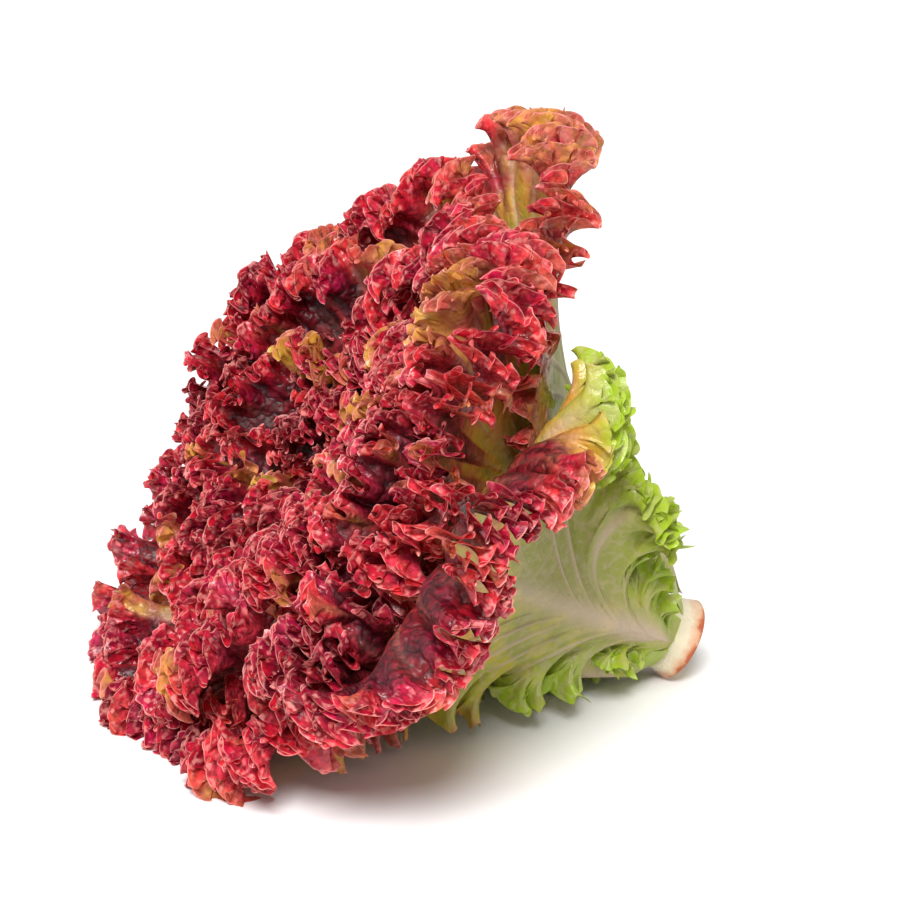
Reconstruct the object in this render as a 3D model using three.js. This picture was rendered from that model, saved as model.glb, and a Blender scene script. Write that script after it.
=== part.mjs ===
// Red leaf lettuce of the Lollo Rosso type: a cut head lying on its side.
//
// One tapering stem carries 34 leaves in a spiral. Each leaf is a thin curved plate with a thicker
// midrib on its outer side. The leaves are nested like the petals of a flower: leaf_01 is the
// outermost and leaf_34 the innermost. The lowest leaves bend where they meet the table.
//
// Millimetres, +Z up. The origin lies under the middle of the head, on the table. The butt of the
// stem points to +X and the crown to -X and up.

import * as THREE from 'three';

const { degToRad, lerp, clamp, smoothstep } = THREE.MathUtils;

// ---- driving dimensions ----

const HEAD_TILT = degToRad(29.6);        // how far the stem rises from the table

const BUTT_RADIUS = 13.5;                // the cut end of the stem
const BUTT_CHAMFER = 0.8;
const STEM_LENGTH = 58;
const STEM_TIP_RADIUS = 2.5;
const STEM_SIDES = 24;

const LEAF_COUNT = 34;
const FIRST_AZIMUTH = degToRad(2);       // round the stem, from the side that faces -Y
const TURN = degToRad(-137.508);         // from each leaf to the next one up the stem

const FOOT_HEIGHT = [4, 54];             // along the stem: outermost leaf, innermost leaf
const FOOT_GAP = 0.35;                   // between the stem and a leaf's foot
const LEAF_LENGTH = [184, 85];
const LENGTH_VARIATION = 0.04;           // natural differences, as a share of the length
const VARIATION_STEP = 1.1;              // radians of a sine wave from each leaf to the next
const VARIATION_START = 1.96;
const LEAF_WIDTH = [186, 58];
const START_ANGLE = [29.5, 1.5];         // degrees between a leaf and the stem's axis, at its foot
const END_ANGLE = [64, 10];              // the same at its tip
const ANGLE_FADE = 0.82;                 // below 1 keeps the middle leaves open
const STRAIGHT_PART = 0.4;               // share of the length before a leaf curves out
const FOOT_HALF_ANGLE = degToRad(40);    // a foot's reach round the stem, each way
const MAX_HALF_ANGLE = degToRad(68);     // half of a turn from leaf to leaf, so next leaves stay apart
const WIDEST_AT = 0.8;                   // share of the length
const SHOULDER_DROP = 0.2;               // how much shorter a leaf's side edge is than its middle
const SHOULDER_POWER = 3.2;

const BLADE_THICKNESS = [0.6, 0.45];
const RIB_HEIGHT = [3.0, 0.6];           // the midrib at the foot, beyond the blade's thickness
const RIB_WIDTH = 0.42;                  // as a share of the leaf's half width
const RIB_FADE = 1.5;                    // how fast the midrib thins towards the tip

const TOP_LEAN = 0.1;                    // the upper leaves lie open by this share
const LEAN_HEIGHT = 140;                 // along the stem, where they reach it
const LAYER_STEP = 0.75;                 // between leaves that lie on each other on the table
const BEND_RADIUS = 45;                  // of a leaf where it meets the table

const COLUMNS = [12, 8];                 // mesh cells across and along, outer and inner leaves
const ROWS = [9, 8];
const OUTER_LEAVES = 12;                 // leaves that get the finer mesh
const SUBSTEPS = 6;                      // steps of the bending calculation per row

// ---- the head's own directions ----

const AXIS = new THREE.Vector3(-Math.cos(HEAD_TILT), 0, Math.sin(HEAD_TILT));
const SIDE = new THREE.Vector3(0, -1, 0);
const TOP = new THREE.Vector3(Math.sin(HEAD_TILT), 0, Math.cos(HEAD_TILT));
const BUTT_CENTRE = new THREE.Vector3(0, 0, BUTT_RADIUS * Math.cos(HEAD_TILT));

// The point at a height along the axis, a distance from it and an azimuth round it.
function headPoint(height, radius, azimuth) {
  const upward = Math.max(0, Math.sin(azimuth)) ** 2;
  const lean = TOP_LEAN * upward * clamp(height / LEAN_HEIGHT, 0, 1);
  return BUTT_CENTRE.clone()
    .addScaledVector(AXIS, height * (1 - lean))
    .addScaledVector(SIDE, radius * (1 + lean) * Math.cos(azimuth))
    .addScaledVector(TOP, radius * (1 + lean) * Math.sin(azimuth));
}

function stemRadius(height) {
  return lerp(BUTT_RADIUS, STEM_TIP_RADIUS, height / STEM_LENGTH);
}

// ---- leaves ----

// The sizes of one leaf, between the outermost (0) and the innermost (LEAF_COUNT - 1).
function leafPlan(index) {
  const inward = index / (LEAF_COUNT - 1);
  const between = ([outer, inner]) => lerp(outer, inner, inward);
  const fading = ([outer, inner]) => degToRad(outer * (1 - inward) ** ANGLE_FADE + inner * inward);
  const foot = between(FOOT_HEIGHT);
  const outer = index < OUTER_LEAVES;
  const variation = 1 + LENGTH_VARIATION * Math.sin(VARIATION_STEP * index + VARIATION_START);
  return {
    index,
    azimuth: FIRST_AZIMUTH + TURN * index,
    foot,
    footRadius: stemRadius(foot) + FOOT_GAP,
    length: between(LEAF_LENGTH) * variation,
    halfWidth: between(LEAF_WIDTH) / 2,
    startAngle: fading(START_ANGLE),
    endAngle: fading(END_ANGLE),
    thickness: between(BLADE_THICKNESS),
    ribHeight: between(RIB_HEIGHT),
    tableLevel: LAYER_STEP * Math.floor(index / 2),
    columns: outer ? COLUMNS[0] : COLUMNS[1],
    rows: outer ? ROWS[0] : ROWS[1],
  };
}

// A leaf's side view: height along the stem and distance from it, at even steps along the midrib.
function sideView(leaf, steps) {
  const points = [{ height: leaf.foot, radius: leaf.footRadius }];
  for (let k = 0; k < steps; k += 1) {
    const along = (k + 0.5) / steps;
    const opening = Math.max(0, (along - STRAIGHT_PART) / (1 - STRAIGHT_PART));
    const angle = lerp(leaf.startAngle, leaf.endAngle, opening);
    const last = points[k];
    points.push({
      height: last.height + Math.cos(angle) * leaf.length / steps,
      radius: last.radius + Math.sin(angle) * leaf.length / steps,
    });
  }
  return points;
}

// The angle that half the leaf spans round the stem, at a share of its length.
function halfAngle(leaf, along, radius) {
  const footHalfWidth = FOOT_HALF_ANGLE * leaf.footRadius;
  const halfWidth = lerp(footHalfWidth, leaf.halfWidth, smoothstep(along / WIDEST_AT, 0, 1));
  return Math.min(MAX_HALF_ANGLE, halfWidth / radius);
}

// The leaf's thickness, with its midrib.
function thicknessAt(leaf, across, along) {
  const rib = leaf.ribHeight * (1 - along) ** RIB_FADE * Math.exp(-((across / RIB_WIDTH) ** 2));
  return leaf.thickness + rib;
}

// One line of the leaf from foot to edge, bent to lie on the table instead of passing through it.
// A step may go down only as steeply as a curve of BEND_RADIUS that levels out on the table.
function column(leaf, across) {
  const steps = leaf.rows * SUBSTEPS;
  const view = sideView(leaf, steps);
  const reach = 1 - SHOULDER_DROP * Math.abs(across) ** SHOULDER_POWER;
  const free = (k) => {
    const at = reach * k;
    const low = Math.min(Math.floor(at), steps - 1);
    const height = lerp(view[low].height, view[low + 1].height, at - low);
    const radius = lerp(view[low].radius, view[low + 1].radius, at - low);
    return headPoint(height, radius, leaf.azimuth + across * halfAngle(leaf, at / steps, radius));
  };
  const place = free(0);
  let before = free(0);
  const points = [place.clone()];
  for (let k = 1; k <= steps; k += 1) {
    const after = free(k);
    const step = after.clone().sub(before);
    const level = leaf.tableLevel + thicknessAt(leaf, across, reach * k / steps);
    const steepest = Math.sqrt(2 * Math.max(0, place.z - level) / BEND_RADIUS);
    const size = step.length();
    if (step.z < -steepest * size) {
      const flat = Math.hypot(step.x, step.y);
      const spread = size * Math.sqrt(Math.max(0, 1 - steepest ** 2)) / flat;
      step.set(step.x * spread, step.y * spread, -steepest * size);
    }
    place.add(step);
    place.z = Math.max(place.z, level);
    before = after;
    if (k % SUBSTEPS === 0) points.push(place.clone());
  }
  return points;
}

// The outward normal of the leaf's inner face at a grid point, from its neighbours.
function outwardNormal(grid, i, j) {
  const last = [grid.length - 1, grid[0].length - 1];
  const sideways = grid[Math.min(i + 1, last[0])][j].clone().sub(grid[Math.max(i - 1, 0)][j]);
  const lengthways = grid[i][Math.min(j + 1, last[1])].clone().sub(grid[i][Math.max(j - 1, 0)]);
  return sideways.cross(lengthways).normalize();
}

// A closed plate between two grids of points: both faces, and the strips along the four edges.
function plateGeometry(inner, outer) {
  const columns = inner.length - 1;
  const rows = inner[0].length - 1;
  const positions = [...inner.flat(), ...outer.flat()].flatMap((point) => point.toArray());
  const layerSize = (columns + 1) * (rows + 1);
  const id = (layer, i, j) => layer * layerSize + i * (rows + 1) + j;
  const triangles = [];
  const quad = (a, b, c, d) => triangles.push(a, b, c, a, c, d);
  for (let i = 0; i < columns; i += 1) {
    for (let j = 0; j < rows; j += 1) {
      quad(id(0, i, j), id(0, i, j + 1), id(0, i + 1, j + 1), id(0, i + 1, j));
      quad(id(1, i, j), id(1, i + 1, j), id(1, i + 1, j + 1), id(1, i, j + 1));
    }
    quad(id(0, i, 0), id(0, i + 1, 0), id(1, i + 1, 0), id(1, i, 0));
    quad(id(0, i + 1, rows), id(0, i, rows), id(1, i, rows), id(1, i + 1, rows));
  }
  for (let j = 0; j < rows; j += 1) {
    quad(id(0, 0, j + 1), id(0, 0, j), id(1, 0, j), id(1, 0, j + 1));
    quad(id(0, columns, j), id(0, columns, j + 1), id(1, columns, j + 1), id(1, columns, j));
  }
  const geometry = new THREE.BufferGeometry();
  geometry.setAttribute('position', new THREE.Float32BufferAttribute(positions, 3));
  geometry.setIndex(triangles);
  geometry.computeVertexNormals();
  return geometry;
}

function leafGeometry(leaf) {
  const inner = [];
  const across = (i) => 2 * i / leaf.columns - 1;
  for (let i = 0; i <= leaf.columns; i += 1) inner.push(column(leaf, across(i)));
  const outer = inner.map((line, i) => line.map((point, j) => {
    const depth = thicknessAt(leaf, across(i), j / leaf.rows);
    const place = point.clone().addScaledVector(outwardNormal(inner, i, j), depth);
    place.z = Math.max(place.z, leaf.tableLevel);
    return place;
  }));
  return plateGeometry(inner, outer);
}

// ---- colours: bronze outer leaves, crimson middle, orange-green heart ----

const OUTER_COLOUR = new THREE.Color('#8a4a36');
const MIDDLE_COLOUR = new THREE.Color('#93203a');
const HEART_COLOUR = new THREE.Color('#c07a3c');

function leafMaterial(index) {
  const inward = index / (LEAF_COUNT - 1);
  const colour = inward < 0.5
    ? OUTER_COLOUR.clone().lerp(MIDDLE_COLOUR, inward * 2)
    : MIDDLE_COLOUR.clone().lerp(HEART_COLOUR, inward * 2 - 1);
  return new THREE.MeshStandardMaterial({ color: colour, roughness: 0.45, metalness: 0 });
}

// ---- the stem ----

function stemMesh() {
  const outline = [
    [0, 0],
    [BUTT_RADIUS - BUTT_CHAMFER, 0],
    [BUTT_RADIUS, BUTT_CHAMFER],
    [stemRadius(STEM_LENGTH / 2), STEM_LENGTH / 2],
    [STEM_TIP_RADIUS, STEM_LENGTH],
    [0, STEM_LENGTH + STEM_TIP_RADIUS / 2],
  ].map(([radius, height]) => new THREE.Vector2(radius, height));
  const geometry = new THREE.LatheGeometry(outline, STEM_SIDES);
  const material = new THREE.MeshStandardMaterial({ color: '#dfc8ac', roughness: 0.5, metalness: 0 });
  const mesh = new THREE.Mesh(geometry, material);
  mesh.name = 'stem';
  mesh.position.copy(BUTT_CENTRE);
  mesh.quaternion.setFromUnitVectors(new THREE.Vector3(0, 1, 0), AXIS);
  return mesh;
}

// ---- the head ----

const head = new THREE.Group();
head.add(stemMesh());
for (let index = 0; index < LEAF_COUNT; index += 1) {
  const mesh = new THREE.Mesh(leafGeometry(leafPlan(index)), leafMaterial(index));
  mesh.name = `leaf_${String(index + 1).padStart(2, '0')}`;
  head.add(mesh);
}

// Put the middle of the head's footprint over the origin.
const box = new THREE.Box3().setFromObject(head, true);
const middle = box.getCenter(new THREE.Vector3());
head.position.set(-middle.x, -middle.y, -box.min.z);
head.updateMatrixWorld(true);

export default head;
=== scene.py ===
"""The looks of a cut head of red leaf lettuce (Lollo Rosso type) that lies on its side.

Every leaf of the CAD model is replaced by a thin frilled leaf that follows the same curved plate.
A leaf is a grid: its columns run from the midrib to the edge, and its last row is the edge. Two waves,
a long one and a short one, and small teeth are folded into the rows near the edge: these are the frills.
"""

import math
from types import SimpleNamespace

import bpy
import numpy as np
from mathutils import Matrix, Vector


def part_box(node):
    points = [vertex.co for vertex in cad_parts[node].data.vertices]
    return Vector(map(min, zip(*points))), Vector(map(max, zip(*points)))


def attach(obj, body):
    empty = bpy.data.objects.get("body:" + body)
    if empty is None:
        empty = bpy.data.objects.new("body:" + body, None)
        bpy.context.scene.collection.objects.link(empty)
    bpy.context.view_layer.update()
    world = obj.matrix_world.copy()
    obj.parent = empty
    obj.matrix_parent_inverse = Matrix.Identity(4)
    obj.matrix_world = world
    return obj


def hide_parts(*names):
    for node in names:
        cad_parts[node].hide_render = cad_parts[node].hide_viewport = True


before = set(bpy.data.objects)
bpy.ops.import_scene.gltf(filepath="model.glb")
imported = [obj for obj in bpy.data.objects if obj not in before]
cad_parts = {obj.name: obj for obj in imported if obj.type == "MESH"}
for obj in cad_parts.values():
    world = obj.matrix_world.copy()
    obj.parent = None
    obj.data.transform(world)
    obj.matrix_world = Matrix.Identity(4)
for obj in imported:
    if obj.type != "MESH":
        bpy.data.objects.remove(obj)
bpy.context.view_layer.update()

MM = 0.001

# ---- the head, as in the CAD model ----

HEAD_TILT = math.radians(29.6)           # how far the stem rises from the floor
BUTT_RADIUS = 13.5 * MM                  # the cut end of the stem
BUTT_CHAMFER = 0.8 * MM
STEM_LENGTH = 58 * MM
STEM_TIP_RADIUS = 2.5 * MM

LEAF_COUNT = sum(node.startswith("leaf_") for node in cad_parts)
FIRST_AZIMUTH = math.radians(2)          # round the stem, from the side that faces -Y
TURN = math.radians(-137.508)            # from each leaf to the next one up the stem
FOOT_HEIGHT = (4 * MM, 54 * MM)          # along the stem: outermost leaf, innermost leaf
FOOT_GAP = 0.35 * MM                     # between the stem and a leaf's foot
LEAF_LENGTH = (184 * MM, 85 * MM)
LENGTH_VARIATION = 0.04                  # natural differences, as a share of the length
VARIATION_STEP = 1.1                     # radians of a sine wave from each leaf to the next
VARIATION_START = 1.96
LEAF_WIDTH = (186 * MM, 58 * MM)
START_ANGLE = (29.5, 1.5)                # degrees between a leaf and the stem's axis, at its foot
END_ANGLE = (64, 10)                     # the same at its tip
ANGLE_FADE = 0.82                        # below 1 keeps the middle leaves open
STRAIGHT_PART = 0.4                      # share of the length before a leaf curves out
FOOT_HALF_ANGLE = math.radians(40)       # a foot's reach round the stem, each way
MAX_HALF_ANGLE = math.radians(68)        # the most that a leaf reaches round, each way
WIDEST_AT = 0.8                          # share of the length
SHOULDER_DROP = 0.2                      # how much shorter a leaf's side edge is than its middle
SHOULDER_POWER = 3.2
TOP_LEAN = 0.1                           # the upper leaves lie open by this share
LEAN_HEIGHT = 140 * MM                   # along the stem, where they reach it
LAYER_STEP = 0.75 * MM                   # between leaves that lie on each other on the floor
BEND_RADIUS = 45 * MM                    # of a leaf where it meets the floor

AXIS = np.array([-math.cos(HEAD_TILT), 0, math.sin(HEAD_TILT)])
SIDE = np.array([0, -1, 0])
TOP = np.array([math.sin(HEAD_TILT), 0, math.cos(HEAD_TILT)])
stem_low, stem_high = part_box("stem")
BUTT_CENTRE = np.array([
    stem_high[0] - (BUTT_RADIUS - BUTT_CHAMFER) * math.sin(HEAD_TILT),
    (stem_low[1] + stem_high[1]) / 2,
    BUTT_RADIUS * math.cos(HEAD_TILT),
])

# ---- the frilled leaves ----

SHEET_COLUMNS = 65                       # grid of a leaf's smooth shape
SHEET_ROWS = 129
OUTLINE_POWER = 4                        # how square the leaf's outline is
OUTLINE_POINTS = 900
SPINE_SHARE = 0.5                        # the veins leave the midrib over this share of the length
SPINE_POWER = 1.2
VEIN_SWEEP = 0.85                        # below 1 the veins leave the midrib at a sharper angle
COLUMN_SAMPLES = 40
DRAFT_PITCH = 0.15 * MM                  # between a draft leaf's columns, along the smooth edge
FOLDED_PITCH = 0.95 * MM                 # between a leaf's columns, along the folded edge
SMOOTH_WEIGHT = 2                        # how strongly even spacing along the smooth edge counts
COARSEST = 16                            # columns are thinned by up to this factor inside the leaf

# Distance of the rows from the edge, and how far their columns are thinned.
ROW_DEPTHS = np.array([0, 1.6, 3.4, 5.6, 8.4, 11.5, 15.5, 20.5, 27]) * MM
ROW_THINNING = (1, 2, 2, 4, 4, 8, 8, 16, 16)
OUTER_LEAVES = 8                         # leaves whose backs show, with a finer inside
INNER_ROWS = (12, 7)                     # between the midrib and the rows above, outer and other leaves
FRILL_SHARE = 0.8                        # most of a column's length that the rows near the edge take
FRILL_SCALE = (0.9, 0.55)                # outermost leaf, innermost leaf
FRILL_START = (0.02, 0.16)               # share of the leaf's length over which the frills grow

NOTCH_PITCH = 30 * MM                    # between the notches in the edge
NOTCH_DEPTH = 15 * MM
NOTCH_WIDTH = 0.7                        # above 0, below 1 for notches narrower than the lobes
NOTCH_JITTER = 0.25
NOTCH_DRIFT = 1.5                        # the pitches over which the notches' spacing changes
NOTCH_SHARES = (0.7, 0.3)                # a notch's mean depth and its variation, of NOTCH_DEPTH
LOBE_PITCH = 60 * MM                     # the whole margin bulges out and in this slowly
LOBE_HEIGHT = 4 * MM
LOBE_REACH = 70 * MM

CUP_REACH = 33 * MM                      # the rim turns towards the heart over this depth
BACK_REACH = 47 * MM                     # and where it rolls back over this one
CUP_TILT = 0.8                           # radians at the edge, as all tilts and turns are
CUP_PITCH = 24 * MM
CUP_VARIETY = 0.9                        # how far the tilt differs along the edge
CUP_CLEARANCE = (5 * MM, 50 * MM)        # rims lower than this lie on the floor and turn less
BACK_TILT = 1.4                          # the outermost leaves on the near side roll their rims back
BACK_CLEARANCE = (25 * MM, 70 * MM)      # except rims lower than this
BACK_LEAVES = 7                          # from the outermost one in, with less and less roll
OPEN_AZIMUTH = math.radians(20)          # of the middle of the near side's open leaves
OPEN_LEAVES = 10                         # leaves that cup less there
WAVE_DRIFT = SimpleNamespace(jitter=2.2, strength=1.7, slant=3)    # in wave lengths
WAVES = (
    SimpleNamespace(length=18 * MM, reach=28 * MM, tilt=0.95, turn=0.85, swing=1.6 * MM,
                    jitter=0.35, variety=0.5, skew=1.1),
    SimpleNamespace(length=8 * MM, reach=11 * MM, tilt=0.95, turn=1.1, swing=1.4 * MM,
                    jitter=0.3, variety=0.4, skew=0.9),
)
REACH_SHARE = 0.55                       # most of a column's length that a wave takes
TUCK_FROM = (4 * MM, 18 * MM)            # a leaf presses on those inside it this far from its edge
TUCK_GAP = 2.5 * MM                      # and holds them this far inside its blade
TUCK_GAP_START = (0.1, 0.4)              # share of its length over which the gap opens
TOOTH_PITCH = 5.0 * MM
TOOTH_LENGTH = (6.5 * MM, 2.3 * MM)      # near the leaf's foot, near its tip
TOOTH_SHORTENING = (0.3, 0.7)            # share of the leaf's length over which the teeth shorten
TOOTH_REACH = 4.5 * MM
TOOTH_SHARPNESS = 1.8
TOOTH_JITTER = 0.6
TOOTH_DRIFT = (1.5, 1.2)                 # the pitches over which their spacing and height change
TOOTH_SHARES = (0.55, 0.45)              # a tooth's mean height and its variation

BLADE_RED = 0.38                         # redness of a leaf's grown part, far from its edge
FRILL_RED = 0.47                         # and what its frills add
FRILL_RED_DEPTHS = (16 * MM, 65 * MM)    # from the edge, over which that fades
RED_DRIFT = 0.1
RED_DRIFT_PITCH = 16 * MM
BRONZE = 0.33                            # less red near the stem's end of the head
BRONZE_FROM = (0 * MM, 45 * MM)          # distance from the head's middle towards the stem
GREENING = 0.5                           # and less still low down
GREENING_FROM = (110 * MM, 160 * MM)     # height above the floor
SHELTERED = 0.3                          # less red too in the rims that lie on the floor
SHELTERED_BELOW = (8 * MM, 50 * MM)
SHELTERED_FROM = (-80 * MM, -45 * MM)    # distance from the head's middle, as above
PATCHINESS = (0.25, 0.6)                 # how pale a leaf's pale patches are, outermost and innermost leaf
PATCH_PITCH = 9 * MM
PATCH_SHARES = (0.3, 0.7)                # of the wander's height, where a patch starts and is full
LIME_DEPTH = 12 * MM                     # from the edge, over which the lime of green frills fades
LIME_REDNESS = (0.1, 0.35)               # redness over which it gives way
REDDENING_FROM = (0.32, 0.15)            # share of the length where the red starts, outer, inner leaf
REDDENING_TO = (0.70, 0.5)
RIB_HEIGHT = (3.4 * MM, 0.8 * MM)        # of the midrib at its foot, outermost and innermost leaf
RIB_FADE = 1.4
RIB_HALF_WIDTH = (6.5 * MM, 2.2 * MM)    # at the foot, at the tip
RIB_START = 0.07                         # share of the leaf's length over which the midrib swells
RIB_PALENESS = 0.9                       # of the midrib at its foot
RIB_EDGE_DEPTHS = (4 * MM, 25 * MM)      # from the edge, over which it grows pale
VEIN_PITCH = 20 * MM                     # between side veins, along the smooth edge
VEIN_HEIGHT = 1.1 * MM
VEIN_HALF_WIDTH = 1.4 * MM
VEIN_PALENESS = 0.8
VEIN_JITTER = 0.3
VEIN_DRIFT = 2                           # the pitches over which the side veins' spacing changes
VEIN_CROWDING = (5 * MM, 14 * MM)        # side veins closer together than this flatten
VEIN_FADE = 25 * MM                      # the side veins flatten over this distance from the edge
FLOOR_SOFTNESS = 1.5 * MM                # how gently the leaves flatten onto the floor
SEED = 1000                              # of the outermost leaf's random draws


def smooth(value, low, high):
    share = np.clip((value - low) / (high - low), 0, 1)
    return share * share * (3 - 2 * share)


def unit(vectors):
    return vectors / np.maximum(np.linalg.norm(vectors, axis=-1, keepdims=True), 1e-12)


def path_length(points):
    """The distance run from the first point to each point of a path."""
    steps = np.linalg.norm(np.diff(points, axis=0), axis=-1)
    return np.concatenate([np.zeros_like(steps[:1]), np.cumsum(steps, axis=0)])


def wander(rng, along, pitch):
    """Smooth random values between -1 and 1, with a new one every pitch."""
    knots = rng.uniform(-1, 1, int(np.max(along) / pitch) + 3)
    low = np.floor(along / pitch).astype(int)
    share = smooth(along / pitch - low, 0, 1)
    return knots[low] * (1 - share) + knots[low + 1] * share


def head_point(height, radius, azimuth):
    """The point at a height along the stem's axis, a distance from it and an azimuth round it."""
    upward = np.maximum(0, np.sin(azimuth)) ** 2
    lean = TOP_LEAN * upward * np.clip(height / LEAN_HEIGHT, 0, 1)
    up_axis = (height * (1 - lean))[..., None] * AXIS
    sideways = (radius * (1 + lean) * np.cos(azimuth))[..., None] * SIDE
    upwards = (radius * (1 + lean) * np.sin(azimuth))[..., None] * TOP
    return BUTT_CENTRE + up_axis + sideways + upwards


def stem_radius(height):
    return BUTT_RADIUS + (STEM_TIP_RADIUS - BUTT_RADIUS) * height / STEM_LENGTH


def leaf_plan(index):
    """The sizes of one leaf, between the outermost (0) and the innermost (LEAF_COUNT - 1)."""
    inward = index / (LEAF_COUNT - 1)

    def between(pair):
        return pair[0] + (pair[1] - pair[0]) * inward

    def fading(pair):
        return math.radians(pair[0] * (1 - inward) ** ANGLE_FADE + pair[1] * inward)

    foot = between(FOOT_HEIGHT)
    azimuth = FIRST_AZIMUTH + TURN * index
    facing = max(0, math.cos(azimuth - OPEN_AZIMUTH))
    opening = facing * max(0, 1 - index / OPEN_LEAVES)
    rolling = facing * max(0, 1 - index / BACK_LEAVES)
    variation = 1 + LENGTH_VARIATION * math.sin(VARIATION_STEP * index + VARIATION_START)
    return SimpleNamespace(
        name=f"leaf_{index + 1:02d}",
        index=index,
        azimuth=azimuth,
        foot=foot,
        foot_radius=stem_radius(foot) + FOOT_GAP,
        length=between(LEAF_LENGTH) * variation,
        half_width=between(LEAF_WIDTH) / 2,
        start_angle=fading(START_ANGLE),
        end_angle=fading(END_ANGLE),
        table_level=LAYER_STEP * (index // 2),
        inner_rows=INNER_ROWS[index >= OUTER_LEAVES],
        frill_scale=between(FRILL_SCALE),
        cup_tilt=CUP_TILT * (1 - opening),
        back_tilt=BACK_TILT * rolling,
        cup_reach=CUP_REACH + (BACK_REACH - CUP_REACH) * rolling,
        patchiness=between(PATCHINESS),
        reddening=(between(REDDENING_FROM), between(REDDENING_TO)),
        rib_height=between(RIB_HEIGHT),
        rng=np.random.default_rng(SEED + index),
    )


def side_view(plan):
    """Height along the stem and distance from it at even steps along the midrib."""
    steps = SHEET_ROWS - 1
    along = (np.arange(steps) + 0.5) / steps
    opening = np.maximum(0, (along - STRAIGHT_PART) / (1 - STRAIGHT_PART))
    angle = plan.start_angle + (plan.end_angle - plan.start_angle) * opening
    step = plan.length / steps
    height = plan.foot + step * np.concatenate([[0], np.cumsum(np.cos(angle))])
    radius = plan.foot_radius + step * np.concatenate([[0], np.cumsum(np.sin(angle))])
    return height, radius


def half_angle(plan, along, radius):
    """How far a leaf reaches round the stem to each side."""
    foot_half_width = FOOT_HALF_ANGLE * plan.foot_radius
    widening = smooth(along / WIDEST_AT, 0, 1)
    half_width = foot_half_width + (plan.half_width - foot_half_width) * widening
    return np.minimum(MAX_HALF_ANGLE, half_width / radius)


def bent_sheet(plan):
    """The leaf's smooth shape, rows from foot to edge, bent where it meets the table."""
    across = np.linspace(-1, 1, SHEET_COLUMNS)
    share = 1 - SHOULDER_DROP * np.abs(across) ** SHOULDER_POWER
    even = np.linspace(0, 1, SHEET_ROWS)
    along = even[:, None] * share
    heights, radii = side_view(plan)
    height = np.interp(along, even, heights)
    radius = np.interp(along, even, radii)
    free = head_point(height, radius, plan.azimuth + across * half_angle(plan, along, radius))
    place = free[0].copy()
    rows = [place.copy()]
    for row in range(1, SHEET_ROWS):
        step = free[row] - free[row - 1]
        size = np.linalg.norm(step, axis=-1)
        above = np.maximum(0, place[:, 2] - plan.table_level)
        steepest = np.sqrt(2 * above / BEND_RADIUS)
        down = -np.minimum(-step[:, 2] / size, steepest)
        flat = np.linalg.norm(step[:, :2], axis=-1)
        spread = np.sqrt(np.maximum(0, 1 - down ** 2)) * size / np.maximum(flat, 1e-9)
        bent = np.concatenate([step[:, :2] * spread[:, None], (down * size)[:, None]], axis=-1)
        place = place + np.where((step[:, 2] < down * size)[:, None], bent, step)
        place[:, 2] = np.maximum(place[:, 2], plan.table_level)
        rows.append(place.copy())
    return np.array(rows)


def sheet_point(sheet, across, along):
    """The smooth shape's point at a share across (-1 to 1) and along (0 to 1) the leaf."""
    column = np.clip((across + 1) / 2, 0, 1) * (SHEET_COLUMNS - 1)
    row = np.clip(along, 0, 1) * (SHEET_ROWS - 1)
    i = np.minimum(column.astype(int), SHEET_COLUMNS - 2)
    j = np.minimum(row.astype(int), SHEET_ROWS - 2)
    u = (column - i)[..., None]
    v = (row - j)[..., None]
    near = sheet[j, i] * (1 - u) + sheet[j, i + 1] * u
    far = sheet[j + 1, i] * (1 - u) + sheet[j + 1, i + 1] * u
    return near * (1 - v) + far * v


def outline(plan, sheet):
    """The leaf's smooth edge, from one side of its foot over the tip to the other side, and how deep
    the notches between its lobes reach."""
    angle = np.linspace(-math.pi / 2, math.pi / 2, OUTLINE_POINTS)
    squareness = np.abs(np.sin(angle)) ** OUTLINE_POWER + np.cos(angle) ** OUTLINE_POWER
    swell = squareness ** (-1 / OUTLINE_POWER)
    across = swell * np.sin(angle)
    along = swell * np.cos(angle)
    run = path_length(sheet_point(sheet, across, along))
    phase = run / NOTCH_PITCH + NOTCH_JITTER * wander(plan.rng, run, NOTCH_DRIFT * NOTCH_PITCH)
    notch = (1 - np.abs(np.sin(math.pi * phase)) ** NOTCH_WIDTH) * smooth(along, *FRILL_START)
    mean, variation = NOTCH_SHARES
    notch = notch * (mean + variation * wander(plan.rng, run, NOTCH_PITCH))
    return SimpleNamespace(
        run=run,
        notch=NOTCH_DEPTH * plan.frill_scale * notch,
        across=across,
        along=along,
        spine=SPINE_SHARE * np.abs(np.cos(angle)) ** SPINE_POWER,
    )


def line_shares(line_run, targets):
    """The share of each line, one a column, at which its run reaches each of the targets."""
    high = np.array([np.sum(line_run < target, axis=0) for target in targets])
    high = np.clip(high, 1, COLUMN_SAMPLES - 1)
    start = np.take_along_axis(line_run, high - 1, axis=0)
    end = np.take_along_axis(line_run, high, axis=0)
    share = np.clip((targets - start) / np.maximum(end - start, 1e-9), 0, 1)
    return (high - 1 + share) / (COLUMN_SAMPLES - 1)


def backs(sheet):
    """The unit vectors out of the smooth leaf's back."""
    return unit(np.cross(np.gradient(sheet, axis=1), np.gradient(sheet, axis=0)))


def row_depths(plan, length):
    """Distance of each row from the edge, on columns of the given lengths."""
    squeeze = np.minimum(1, FRILL_SHARE * length / (ROW_DEPTHS[-1] * plan.frill_scale))
    outer = ROW_DEPTHS[:, None] * plan.frill_scale * squeeze
    inner = np.linspace(length, outer[-1], plan.inner_rows + 1)[:-1]
    return np.concatenate([inner, outer[::-1]])


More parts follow.
